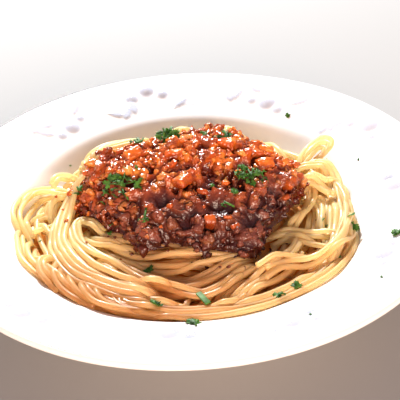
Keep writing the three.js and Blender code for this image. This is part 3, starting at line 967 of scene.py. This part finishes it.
# Meat sauce: a wet mound with chunks run into it by a remesh
sauce = {
    "sink": 2.2,  # the mound lies this much below the frame's surface, so that chunks can stand on it
    "voxel": 0.52,
    "keep": 0.6,  # share of the remeshed faces that stay
    "chunks": [(70, 2.6, 3.8), (300, 1.5, 2.6), (600, 0.8, 1.5)],  # how many, from and to what radius
    "chunkRise": (-0.5, 0.45),  # how far they stand out, in radii
    "chunkEdge": (1.25, 0.35),  # where a chunk's colour ends and over what length, in radii
    "waves": [(9.0, 1.1), (3.4, 0.5), (1.3, 0.18)],  # length and height of the roughness
    "hollows": [  # x, y, radius and depth of the deeper ones
        (8, -13, 3.4, 4.0), (10, -20, 4.0, 4.5), (4, -24.5, 4.2, 3.5), (19, -15, 3.4, 5.0), (21, -21, 4, 4),
        (11, -31, 4.0, 3.2), (17, -34, 3.8, 3), (-13, -27, 4.2, 3.2), (31, -17, 3.2, 3), (38, -20, 2.8, 3.2),
        (-17, -9, 3.6, 2.6), (0, -12, 2.6, 2.4), (-33, -24, 3.6, 2.2), (26, -36, 4.5, 2.8), (34, 1, 2.4, 2.2),
        (-2, -36, 4.5, 2.6), (-24, -32, 3.6, 2.4), (-40, -6, 3, 2), (8, 14, 3.0, 2.5), (-14, 12, 3.0, 2.2),
    ],
    "hollowDepth": 1.5,
    "hollowEmpty": 2.2,  # no chunks where a hollow is deeper than this
    "ceiling": 63.2,
    "standOut": 1.6,  # what stands further out of the frame's surface is pressed down by the next value
    "pressed": 0.75,
    "soakShadeBelow": (61, 13),  # sauce has run down, and shade is painted, under this height, over this depth,
    "soakShadeFront": (2, 20),  # in front of this, over this length,
    "soakShadeRight": (-62, 50),  # and more to the right of this
    "stretch": [(0.8, 1.6), (0.7, 1.1), (0.6, 0.95)],  # of lumps and crumbs
    "film": 0.3,  # where the sauce between the chunks lies among their colours
    "wetRoughness": 0.35,
    "look": {
        "kinds": [
            (0.0, (0.24, 0.06, 0.02)),
            (0.3, (0.48, 0.08, 0.012)),
            (0.55, (0.62, 0.15, 0.024)),
            (0.8, (0.82, 0.23, 0.022)),
            (1.0, (0.88, 0.33, 0.045)),
        ],
        # painted shade: the first colour is multiplied into the hollows, the second is laid over the low
        # front
        "hollowShade": (0.27, 0.14, 0.15),
        "soakedShade": (0.12, 0.033, 0.022),
        "patches": (300.0, 0.5, (0.36, 0.07, 0.015)),  # scale, amount and colour
        "beads": (900.0, 0.5, 0.0006),  # scale, strength and depth
        "surface": {"Roughness": 0.2, "Specular IOR Level": 0.55, "Subsurface Weight": 0.15},
    },
    "seed": 8,
}


def hollowDepth(x, y):
    total = 0.0
    for middleX, middleY, size, deep in sauce["hollows"]:
        total = total + deep * np.exp(-((x - middleX) ** 2 + (y - middleY) ** 2) / size**2)
    return sauce["hollowDepth"] * total


def scatterOn(solid, count, source):
    # points all over a solid's upper side, with the normal there
    faces = [face for face in solid.faces if face.normal.z > 0.02]
    areas = [face.calc_area() for face in faces]
    spots = []
    for face in source.choices(faces, weights=areas, k=count):
        a, b, c = [vert.co for vert in face.verts][:3]
        u, v = source.random(), source.random()
        if u + v > 1:
            u, v = 1 - u, 1 - v
        spots.append((a + (b - a) * u + (c - a) * v, face.normal.copy()))
    return spots


def randomDirection(source):
    return Vector((source.gauss(0, 1), source.gauss(0, 1), source.gauss(0, 1))).normalized()


def crumbTemplates(count, source):
    # rough lumps of radius one, with a few flats as if cut or torn
    meshes = []
    for number in range(count):
        bm = bmesh.new()
        bmesh.ops.create_icosphere(bm, subdivisions=2, radius=1)
        flats = [randomDirection(source) for _ in range(5)]
        shift = Vector((number * 7.3, 1.7, 4.1))
        for vert in bm.verts:
            for flat in flats:
                vert.co -= flat * max(0.0, vert.co.dot(flat) - 0.62) * 0.9
            dents = 0.75 * noise.noise(vert.co * 1.2 + shift)
            vert.co *= 1.15 + dents + 0.5 * noise.noise(vert.co * 3.1 - shift)
        meshes.append(meshFrom("crumb", bm))
    return meshes


def crumbMatrix(place, size, source):
    stretch = randomStretch(sauce["stretch"], source)
    turn = Matrix.Rotation(source.uniform(0, fullTurn), 4, randomDirection(source))
    return Matrix.Translation(place) @ turn @ stretch @ Matrix.Scale(size * mm, 4)


def hill(place, length=sauce["waves"][0][0]):
    # slow rises and hollows of the mound, from -1 to 1
    return noise.noise(place / mm / length + Vector((3, 9, 1)))


def makeSauce():
    source = random.Random(sauce["seed"])
    templates = crumbTemplates(9, source)
    bm = cadSauce.copy()
    bm.normal_update()
    for vert, normal in [(vert, vert.normal.copy()) for vert in bm.verts]:
        vert.co -= normal * sauce["sink"] * mm
    chunks = []
    for count, small, large in sauce["chunks"]:
        for spot, normal in scatterOn(cadSauce, count, source):
            size = source.uniform(small, large)
            rise = -sauce["sink"] + source.uniform(*sauce["chunkRise"]) * size + 0.8 * hill(spot)
            if hollowDepth(spot.x / mm, spot.y / mm) <= sauce["hollowEmpty"]:
                place = spot + normal * rise * mm
                chunks.append((place, size * mm, source.betavariate(1.1, 1.3)))
                addCopy(bm, source.choice(templates), crumbMatrix(place, size, source))
    piece = pieceFrom("meat_sauce_body", bm)
    applyModifier(piece, "REMESH", mode="VOXEL", voxel_size=sauce["voxel"] * mm)
    roughen(piece)
    applyModifier(piece, "DECIMATE", ratio=sauce["keep"])
    return piece, chunks


def highestNear(grid, reach):
    for axis in (0, 1):
        grid = np.max([np.roll(grid, shift, axis) for shift in range(-reach, reach + 1)], axis=0)
    return grid


def roughen(piece):
    bm = bmeshFrom(piece.data)
    bm.normal_update()
    x, y, _ = vertexArray(piece.data).T
    moves = []
    for vert, depth in zip(bm.verts, hollowDepth(x, y)):
        lift = 0
        for length, height in sauce["waves"]:
            lift += height * hill(vert.co, length)
        drop = depth * max(0.0, vert.normal.z)
        moves.append((vert.normal * lift * max(0.0, vert.normal.z + 0.4) - Vector((0, 0, drop))) * mm)
    for vert, move, top in zip(bm.verts, moves, readField(highestNear(sauceTop, 5), x, y)):
        vert.co += move
        if top > 0:
            vert.co.z -= sauce["pressed"] * max(0.0, vert.co.z - (top + sauce["standOut"]) * mm)
        vert.co.z = min(vert.co.z, sauce["ceiling"] * mm)
    putBack(piece, bm)


def chunkKinds(places, chunks):
    # which chunk a point of the mound belongs to, or the film of sauce between them
    tree = kdtree.KDTree(len(chunks))
    for number, (place, _, _) in enumerate(chunks):
        tree.insert(place, number)
    tree.balance()
    edge, fade = sauce["chunkEdge"]
    kinds = []
    for place in places:
        near = [(away / chunks[number][1], chunks[number][2]) for _, number, away in tree.find_n(place, 5)]
        score, kind = min(near)
        inside = min(1.0, max(0.0, (edge - score) / fade))
        kinds.append(sauce["film"] * (1 - inside) + kind * inside)
    return np.array(kinds)


def boxBlur(grid, reach):
    for axis in (0, 1):
        grid = sum(np.roll(grid, shift, axis) for shift in range(-reach, reach + 1)) / (2 * reach + 1)
    return grid


def hollowShading(places, reach=7, depth=4):
    # where shade is painted: how far each point lies below the mean surface round it, and more in the deeper
    # hollows
    row, column = cellOf(places[:, 1]), cellOf(places[:, 0])
    top = np.full((cellCount, cellCount), empty)
    np.maximum.at(top, (row, column), places[:, 2])
    known = (top > empty).astype(float)
    mean = boxBlur(np.where(known > 0, top, 0.0), reach) / np.maximum(boxBlur(known, reach), 1e-6)
    inHollow = np.clip(hollowDepth(places[:, 0], places[:, 1]) / 5, 0, 1)
    return np.clip(0.5 + (mean[row, column] - places[:, 2]) / depth + 0.4 * inHollow, 0, 1)


def soakAndShade(places):
    # sauce runs down to the front and the right: the lower there, the wetter; the same mask paints shade
    # there, darker the lower
    x, y, z = places.T
    (below, depth), (front, length) = sauce["soakShadeBelow"], sauce["soakShadeFront"]
    left, width = sauce["soakShadeRight"]
    low = np.clip((below - z) / depth, 0, 0.9) * np.clip((front - y) / length, 0, 1)
    return low * np.clip((x - left) / width, 0.5, 1)


def labelFood(piece, kinds, hollowShadeShare=1.0, soakShadeShare=1.0):
    places = vertexArray(piece.data)
    setAttribute(piece, "crumb", kinds)
    setAttribute(piece, "hollowShade", hollowShadeShare * hollowShading(places))
    setAttribute(piece, "soakShade", soakShadeShare * soakAndShade(places))


def wetFood(name, look):
    # crumbs in their own colours, with painted shade in the hollows and on the low front, where sauce has
    # also gathered
    soft = {"Subsurface Scale": 1.0, "Subsurface Radius": (0.0025, 0.0009, 0.0004)}
    material, tree, shader = newMaterial(name, {**soft, **look["surface"]})
    kinds = addNode(tree, "ValToRGB", (-1080, 300), {"Fac": attribute(tree, "crumb", (-1300, 300))})
    elements = kinds.color_ramp.elements
    while len(elements) < len(look["kinds"]):
        elements.new(0.5)
    for element, (position, colour) in zip(elements, look["kinds"]):
        element.position = position
        element.color = (*colour, 1)
    scale, amount, second = look["patches"]
    patched = colourPatches(tree, (-760, 300), scale, amount, First=kinds.outputs["Color"], Second=second)
    soakShade = attribute(tree, "soakShade", (-1300, -250))
    # painted shade: the low front takes the soaked shade colour
    soakShaded = mixColours(tree, (-520, 300), soakShade, patched["Color"], look["soakedShade"])
    hollowShade = attribute(tree, "hollowShade", (-1300, 0))
    # painted shade: the hollows are darkened by multiplying in the hollow shade colour
    deep = mapRange(tree, (-760, 0), hollowShade, {"From Min": 0.4, "From Max": 0.9})
    setColour(shader, mixColours(tree, (-300, 300), deep, soakShaded, look["hollowShade"], "MULTIPLY"))
    dull = {"To Min": look["surface"]["Roughness"], "To Max": sauce["wetRoughness"]}
    feed(shader.inputs["Roughness"], mapRange(tree, (-300, 0), soakShade, dull))
    addBeads(tree, shader, *look["beads"])
    return material


sauceBody, sauceChunks = makeSauce()
labelFood(sauceBody, chunkKinds(vertexArray(sauceBody.data) * mm, sauceChunks))
finishPiece(sauceBody, wetFood("meatSauce", sauce["look"]), "meat_sauce", "meat_sauce")

sauceTree = BVHTree.FromPolygons(
    [vert.co for vert in sauceBody.data.vertices], [face.vertices for face in sauceBody.data.polygons]
)
bodySolid = bmeshFrom(sauceBody.data)
bmesh.ops.triangulate(bodySolid, faces=bodySolid.faces)
bodySolid.normal_update()


def topOf(x, y):
    # the height of whatever food or plate lies at a place
    if max(abs(x), abs(y)) >= field["half"] - 3:
        return float(plateTop(math.hypot(x, y)))
    hit = castDown(sauceTree, x, y)
    ground = float(readField(heap, x, y))
    return max(ground, hit.z / mm) if hit is not None else ground


# Loose mince and onion that lie on the wet mound
mince = {
    "crumbs": [(60, 1.9, 2.8), (380, 1.1, 1.9), (800, 0.5, 1.1)],  # how many, from and to what radius
    "smallCrumb": 1.3,  # only these lie in the hollows
    "crumbRise": (-0.35, 0.35),  # how far they stand out, in radii
    "onions": [(34, 1.2, 2.2)],
    "onionRise": (-0.2, 0.3),
    "stray": 40,  # crumbs that have rolled onto the noodles
    "strayReach": 4.0,  # how far from the sauce, on average
    "strayArea": ((-66, 66), (-62, 56)),
    "strayRadius": (0.35, 0.9),
    "bareHollows": (-0.55, -0.2),  # none where the mound is lower than a value between these, from -1 to 1
    "bareSoaked": (0.3, 1.3),  # and fewer where sauce has gathered
    "crumbLook": {
        "kinds": [
            (0.0, (0.20, 0.05, 0.018)),
            (0.25, (0.44, 0.09, 0.016)),
            (0.5, (0.64, 0.14, 0.018)),
            (0.75, (0.80, 0.23, 0.024)),
            (1.0, (0.84, 0.34, 0.07)),
        ],
        # painted shade: the first colour is multiplied into the hollows, the second is laid over the low
        # front
        "hollowShade": (0.29, 0.15, 0.16),
        "soakedShade": (0.12, 0.033, 0.022),
        "patches": (480.0, 0.5, (0.42, 0.085, 0.018)),
        "beads": (1200.0, 0.6, 0.0005),
        "surface": {"Roughness": 0.2, "Specular IOR Level": 0.6, "Subsurface Weight": 0.15},
    },
    "onionLook": {
        "kinds": [(0.0, (0.60, 0.20, 0.04)), (1.0, (0.76, 0.36, 0.12))],
        # painted shade: the first colour is multiplied into the hollows, the second is laid over the low
        # front
        "hollowShade": (0.45, 0.3, 0.25),
        "soakedShade": (0.34, 0.12, 0.05),
        "patches": (300.0, 0.4, (0.62, 0.22, 0.06)),
        "beads": (700.0, 0.3, 0.0004),
        "surface": {"Roughness": 0.18, "Subsurface Weight": 0.5},
    },
    "seed": 17,
}


def strayPlaces(count, source):
    # on the noodles, near the sauce's edge
    places = []
    while len(places) < count:
        x, y = (source.uniform(*limits) for limits in mince["strayArea"])
        away = cadSauceTree.find_nearest(Vector((x, y, float(readField(heap, x, y)))) * mm)[3] / mm
        if castDown(sauceTree, x, y) is None and away < source.expovariate(1 / mince["strayReach"]):
            places.append((x, y, source.uniform(*mince["strayRadius"])))
    return places


def makeCrumbs(name, groups, templates, source, rise, strays=0):
    bm = bmesh.new()
    labels = []

    def addCrumb(place, size):
        template = source.choice(templates)
        addCopy(bm, template, crumbMatrix(place, size, source))
        labels.extend([source.betavariate(0.9, 0.8)] * len(template.vertices))

    for count, small, large in groups:
        for spot, normal in scatterOn(bodySolid, count, source):
            size = source.uniform(small, large)
            inHollow = hollowDepth(spot.x / mm, spot.y / mm) > sauce["hollowEmpty"]
            tall = spot.z / mm + size > sauce["ceiling"]
            low = tall or hill(spot) < source.uniform(*mince["bareHollows"])
            if low or (inHollow and size > mince["smallCrumb"]):
                continue
            if soakAndShade(np.array([spot]) / mm)[0] < source.uniform(*mince["bareSoaked"]):
                addCrumb(spot + normal * source.uniform(*rise) * size * mm, size)
    for x, y, size in strayPlaces(strays, source):
        addCrumb(Vector((x, y, topOf(x, y) + 0.3 * size)) * mm, size)
    piece = pieceFrom(name, bm)
    labelFood(piece, labels)
    return piece


minceSource = random.Random(mince["seed"])
lumps = crumbTemplates(12, minceSource)
crumbs = makeCrumbs("mince_crumbs", mince["crumbs"], lumps, minceSource, mince["crumbRise"], mince["stray"])
finishPiece(crumbs, wetFood("mincedMeat", mince["crumbLook"]), "meat_sauce")
onions = makeCrumbs("onion_bits", mince["onions"], lumps[:5], minceSource, mince["onionRise"])
finishPiece(onions, wetFood("cookedOnion", mince["onionLook"]), "meat_sauce")


# Carrot dice: the seven of the frame, softened, and smaller bits between them
carrot = {
    "voxel": 0.4,
    "lumps": 0.7,
    "soften": 9,
    "bits": 24,
    "bitSize": (1.1, 1.9),
    "largeBits": [  # x, y and size of the ones that show most
        (23, 4, 3.4), (6, -28, 3.6), (16, -24, 4.0), (16, -40, 3.4), (19, -44, 3.2), (31, -24, 3.0),
        (43, -17, 3.6), (31, 13, 3.2), (24, 12, 2.4), (-9, -32, 2.8), (-13, -39, 2.6), (-32, 14, 3.2),
        (-2, 8, 3.0), (38, 4, 2.8),
    ],
    "bitBevel": 0.2,
    "bitStretch": [(0.9, 1.7), (0.7, 1.1), (0.5, 0.9)],
    "bitTilt": 0.7,  # radians out of flat
    "look": {
        "kinds": [(0.2, (0.70, 0.14, 0.01)), (0.8, (0.80, 0.22, 0.018))],
        # painted shade: the first colour is multiplied into the hollows, the second is laid over the low
        # front
        "hollowShade": (0.42, 0.24, 0.2),
        "soakedShade": (0.30, 0.06, 0.015),
        "patches": (220.0, 1.0, (0.44, 0.075, 0.012)),
        "beads": (700.0, 0.4, 0.0005),
        "surface": {"Roughness": 0.24, "Subsurface Weight": 0.3},
    },
    "seed": 16,
}
carrotNodes = sorted(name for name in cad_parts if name.startswith("carrot_"))


def makeCarrots():
    source = random.Random(carrot["seed"])
    bm = bmesh.new()
    for node in carrotNodes:
        bm.from_mesh(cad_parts[node].data)
    bmesh.ops.remove_doubles(bm, verts=bm.verts, dist=1e-6)
    cube = bmesh.new()
    bmesh.ops.create_cube(cube, size=1)
    roundEdges(cube, cube.edges[:], carrot["bitBevel"])
    bit = meshFrom("bit", cube)
    spots = scatterOn(bodySolid, carrot["bits"], source)
    bits = [(spot.x / mm, spot.y / mm, source.uniform(*carrot["bitSize"])) for spot, _ in spots]
    for x, y, size in bits + carrot["largeBits"]:
        stretch = randomStretch(carrot["bitStretch"], source)
        turn = Matrix.Rotation(source.uniform(0, fullTurn), 4, "Z")
        tilt = Matrix.Rotation(source.uniform(-carrot["bitTilt"], carrot["bitTilt"]), 4, "X")
        place = Matrix.Translation(Vector((x, y, topOf(x, y) - 0.1 * size)) * mm)
        addCopy(bm, bit, place @ turn @ tilt @ stretch @ Matrix.Scale(0.9 * size * mm, 4))
    piece = pieceFrom("carrot_dice", bm)
    applyModifier(piece, "REMESH", mode="VOXEL", voxel_size=carrot["voxel"] * mm)
    bm = bmeshFrom(piece.data)
    allAxes = {"use_axis_x": True, "use_axis_y": True, "use_axis_z": True}
    for _ in range(carrot["soften"]):
        bmesh.ops.smooth_vert(bm, verts=bm.verts, factor=0.5, **allAxes)
    bm.normal_update()
    for vert in bm.verts:
        lump = noise.noise(vert.co / mm * 0.3) + 0.4 * noise.noise(vert.co / mm * 0.9)
        vert.co += vert.normal * lump * carrot["lumps"] * mm
    putBack(piece, bm)
    return piece


carrotDice = makeCarrots()
carrotKinds = [0.5 + 0.6 * noise.noise(Vector(place) * 0.12) for place in vertexArray(carrotDice.data)]
labelFood(carrotDice, carrotKinds, hollowShadeShare=0.8, soakShadeShare=0.75)
finishPiece(carrotDice, wetFood("cookedCarrot", carrot["look"]), "carrot", *carrotNodes)


# Parsley: curled leaflets, in the three sprigs of the frame and in flakes over the food and plate
parsley = {
    "leafThickness": 0.12,
    "ruffle": (0.15, 0.35),
    "cup": (-0.3, 0.5),
    "stemRadius": 0.38,
    "looseStemRadius": 0.494,
    # how many leaflets, their radius, how far they spread over the box, how they stand (0 flat, 1 any way)
    "sprigs": {
        "parsley_sprig_back": (44, 1.6, 0.85, 1.0),
        "parsley_sprig_left": (24, 1.9, 1.2, 0.7),
        "parsley_sprig_right": (24, 1.6, 1.15, 0.9),
    },
    "flakes": [  # x, y and size
        (20, -29, 2.6), (10, -26, 1.8), (-52, -1, 3.0), (-23, 18, 3.6), (16, 12, 4.6), (8, 17, 2.6),
        (14, -35, 2.4), (-20, -37, 3.0), (-36, -26, 2.0), (-21, -50, 4.4), (-15, -75, 4.6), (-2, -86, 4.0),
        (35, -72, 3.8), (43, -66, 3.4), (61, -21, 2.8), (62, -46, 1.5), (59, -52, 1.4), (-64, 23, 1.0),
        (-75, 7, 1.0), (-70, -16, 1.2), (-71, -35, 1.6), (-81, -18, 1.4), (73, -25, 4.4), (90, -38, 3.4),
        (77, -70, 1.3), (45, -90, 1.1), (53, 76, 2.6), (84, 29, 1.5), (-61, 50, 1.3),
    ],
    "leafletSizes": (0.7, 1.2),
    "flakeLeaflets": 1.3,  # for each millimetre of a flake, and at least two
    "flakeLeafletSizes": (0.45, 0.65),
    "flakeSpread": (0.3, 0.22),
    "lift": 0.4,  # over what lies below
    "flakeLift": 0.3,
    "stems": [  # from and to, over the food: x, y, x, y
        (-30, -17, -27, -24), (-19, -33, -20.5, -40), (26, -14, 29, -21), (30, -13, 33, -18),
        (15, -35, 19, -37),
    ],
    "chive": (1.5, -69.0, 5.5, -76.0, 2.6, 0.7),  # from, to, width and thickness
    "colours": {"First": (0.02, 0.075, 0.012), "Second": (0.10, 0.26, 0.035)},
    "glow": (0.22, 0.5, 0.06),
    "glowShare": 0.25,
    "beads": (1500.0, 0.3, 0.0003),
    "surface": {
        "Roughness": 0.55,
        "Specular IOR Level": 0.35,
        "Subsurface Weight": 0.15,
        "Subsurface Radius": (0.0006, 0.0012, 0.0003),
    },
    "seed": 31,
}


def leafletTemplates(source, count):
    # a toothed leaflet of three lobes and radius one, ruffled and a little cupped
    meshes = []
    for _ in range(count):
        bm = bmesh.new()
        bmesh.ops.create_circle(bm, cap_ends=True, cap_tris=True, segments=24, radius=1)
        ruffle, phase = source.uniform(*parsley["ruffle"]), source.uniform(0, fullTurn)
        cup = source.uniform(*parsley["cup"])
        for vert in bm.verts:
            radius, angle = vert.co.to_2d().length, math.atan2(vert.co.y, vert.co.x)
            if radius > 0.5:
                vert.co *= (0.5 + 0.5 * abs(math.cos(1.5 * angle)) ** 0.7) * (1 + 0.16 * math.cos(12 * angle))
                vert.co.z = ruffle * math.sin(3 * angle + phase) + cup * vert.co.length**2
        bmesh.ops.solidify(bm, geom=bm.faces[:], thickness=parsley["leafThickness"] / 2)
        bmesh.ops.recalc_face_normals(bm, faces=bm.faces)
        meshes.append(meshFrom("leaflet", bm))
    return meshes


def addStem(bm, start, end, radius):
    # a thin stalk from point to point, in millimetres
    along = Vector(end) - Vector(start)
    matrix = Matrix.Translation((Vector(start) + along / 2) * mm) @ turnTo(along)
    size = {"radius1": radius * mm, "radius2": 0.8 * radius * mm, "depth": along.length * mm}
    bmesh.ops.create_cone(bm, cap_ends=True, segments=7, matrix=matrix, **size)


def addChive(bm):
    # a flat cut piece that lies on the noodles
    x, y, endX, endY, width, thickness = parsley["chive"]
    start = Vector((x, y, topOf(x, y) + 1.0))
    end = Vector((endX, endY, topOf(endX, endY) + 1.0))
    along = end - start
    shape = Matrix.Diagonal((along.length * mm, width * mm, thickness * mm, 1))
    matrix = Matrix.Translation((start + end) / 2 * mm) @ turnTo(along, "X", "Z") @ shape
    made = bmesh.ops.create_cube(bm, size=1, matrix=matrix)
    edges = list(dict.fromkeys(edge for vert in made["verts"] for edge in vert.link_edges))
    roundEdges(bm, edges, 0.22 * mm)


def makeParsley():
    source = random.Random(parsley["seed"])
    templates = leafletTemplates(source, 8)
    bm = bmesh.new()

    def addLeaflet(place, direction, size):
        turn = turnTo(direction) @ Matrix.Rotation(source.uniform(0, fullTurn), 4, "Z")
        matrix = Matrix.Translation(place * mm) @ turn @ Matrix.Scale(size * mm, 4)
        addCopy(bm, source.choice(templates), matrix)

    for node, (count, radius, spread, tumble) in parsley["sprigs"].items():
        low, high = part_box(node)
        middle, half = (low + high) / 2 / mm, (high - low) / 2 / mm
        for number in range(count):
            angle, out = source.uniform(0, fullTurn), math.sqrt((number + 0.5) / count) * spread
            x, y = middle.x + half.x * out * math.cos(angle), middle.y + half.y * out * math.sin(angle)
            ground = topOf(x, y)
            headroom = (high.z / mm - ground - 1.0) * max(0.0, 1 - out**4)
            height = ground + parsley["lift"] + headroom * source.uniform(0.5, 1)
            lean = Vector((source.gauss(0, tumble), source.gauss(0, tumble), 0.7)).normalized()
            size = radius * source.uniform(*parsley["leafletSizes"])
            addLeaflet(Vector((x, y, max(height, ground + parsley["lift"]))), lean, size)
            if number % 4 == 0:
                addStem(bm, (middle.x, middle.y, low.z / mm + 1.5), (x, y, height), parsley["stemRadius"])
    wideX, wideY = parsley["flakeSpread"]
    for x, y, size in parsley["flakes"]:
        for _ in range(max(2, int(size * parsley["flakeLeaflets"]))):
            spotX, spotY = x + source.gauss(0, wideX) * size, y + source.gauss(0, wideY) * size
            lean = Vector((source.gauss(0, 0.5), source.gauss(0, 0.5), 1)).normalized()
            place = Vector((spotX, spotY, topOf(spotX, spotY) + parsley["flakeLift"]))
            addLeaflet(place, lean, source.uniform(*parsley["flakeLeafletSizes"]) * size)
    for *start, endX, endY in parsley["stems"]:
        ends = [(x, y, topOf(x, y) + 2 * parsley["stemRadius"]) for x, y in (start, (endX, endY))]
        addStem(bm, *ends, parsley["looseStemRadius"])
    addChive(bm)
    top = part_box("parsley_sprig_back")[1].z
    for vert in bm.verts:
        vert.co.z = min(vert.co.z, top)
    return pieceFrom("parsley", bm)


def parsleyMaterial():
    material, tree, shader = newMaterial("parsleyLeaf", parsley["surface"])
    setColour(shader, colourPatches(tree, (-300, 200), 380.0, 1.0, **parsley["colours"])["Color"])
    addBeads(tree, shader, *parsley["beads"])
    letThrough(tree, shader, parsley["glow"], parsley["glowShare"])
    return material


finishPiece(makeParsley(), parsleyMaterial(), "parsley", *parsley["sprigs"])


# Floor and light: a pale table, a strong soft lamp from behind and a pale room
studio = {
    "floorSize": 3,  # metres to each side
    "floorColour": (0.34, 0.34, 0.335),
    # place is degrees from straight behind, degrees up and metres away
    "keyLamp": {"place": (-10.0, 37.5, 1.5), "size": 0.17, "power": 56.0, "colour": (1.0, 1.0, 1.0)},
    "fillLamp": {"place": (172.0, 16.0, 1.3), "size": 0.7, "power": 26.0, "colour": (1.0, 0.74, 0.58)},
    "skyColour": (0.29, 0.27, 0.32),  # from above and behind
    "cardColour": (0.92, 0.60, 0.48),  # from low in front, as off a warm card
    "skyDirection": (0, 0.6, 0.8),
    "cardEdge": {"From Min": -0.35, "From Max": 0.45},
    "roomStrength": 1.0,
}


def addLamp(name, place, size, power, colour):
    # a round soft lamp that looks at the middle
    light = bpy.data.lights.new(name, "AREA")
    light.shape = "DISK"
    light.size = size
    light.energy = power
    light.color = colour
    azimuth, elevation = math.radians(place[0]), math.radians(place[1])
    level = math.cos(elevation)
    away = Vector((math.sin(azimuth) * level, math.cos(azimuth) * level, math.sin(elevation)))
    lamp = addObject(name, light)
    lamp.location = away * place[2]
    lamp.rotation_euler = away.to_track_quat("Z", "Y").to_euler()


def makeStudio():
    bm = bmesh.new()
    bmesh.ops.create_grid(bm, x_segments=1, y_segments=1, size=studio["floorSize"])
    floor = pieceFrom("table_top", bm)
    surface = {"Base Color": studio["floorColour"], "Roughness": 0.85, "Specular IOR Level": 0.1}
    floor.data.materials.append(newMaterial("paleTable", surface)[0])
    for name in ("keyLamp", "fillLamp"):
        addLamp(name, **studio[name])
    world = bpy.data.worlds.new("room")
    world.use_nodes = True
    tree = world.node_tree
    direction = addNode(tree, "TexCoord", (-900, 0)).outputs["Generated"]
    parts = {0: direction, 1: studio["skyDirection"]}
    upward = addNode(tree, "VectorMath", (-700, 0), parts, operation="DOT_PRODUCT").outputs["Value"]
    share = mapRange(tree, (-500, 0), upward, studio["cardEdge"])
    light = mixColours(tree, (-300, 0), share, studio["cardColour"], studio["skyColour"])
    background = tree.nodes["Background"]
    feed(background.inputs["Color"], light)
    feed(background.inputs["Strength"], studio["roomStrength"])
    bpy.context.scene.world = world
    bpy.context.scene.view_settings.view_transform = "Standard"


makeStudio()
print("studio lit")
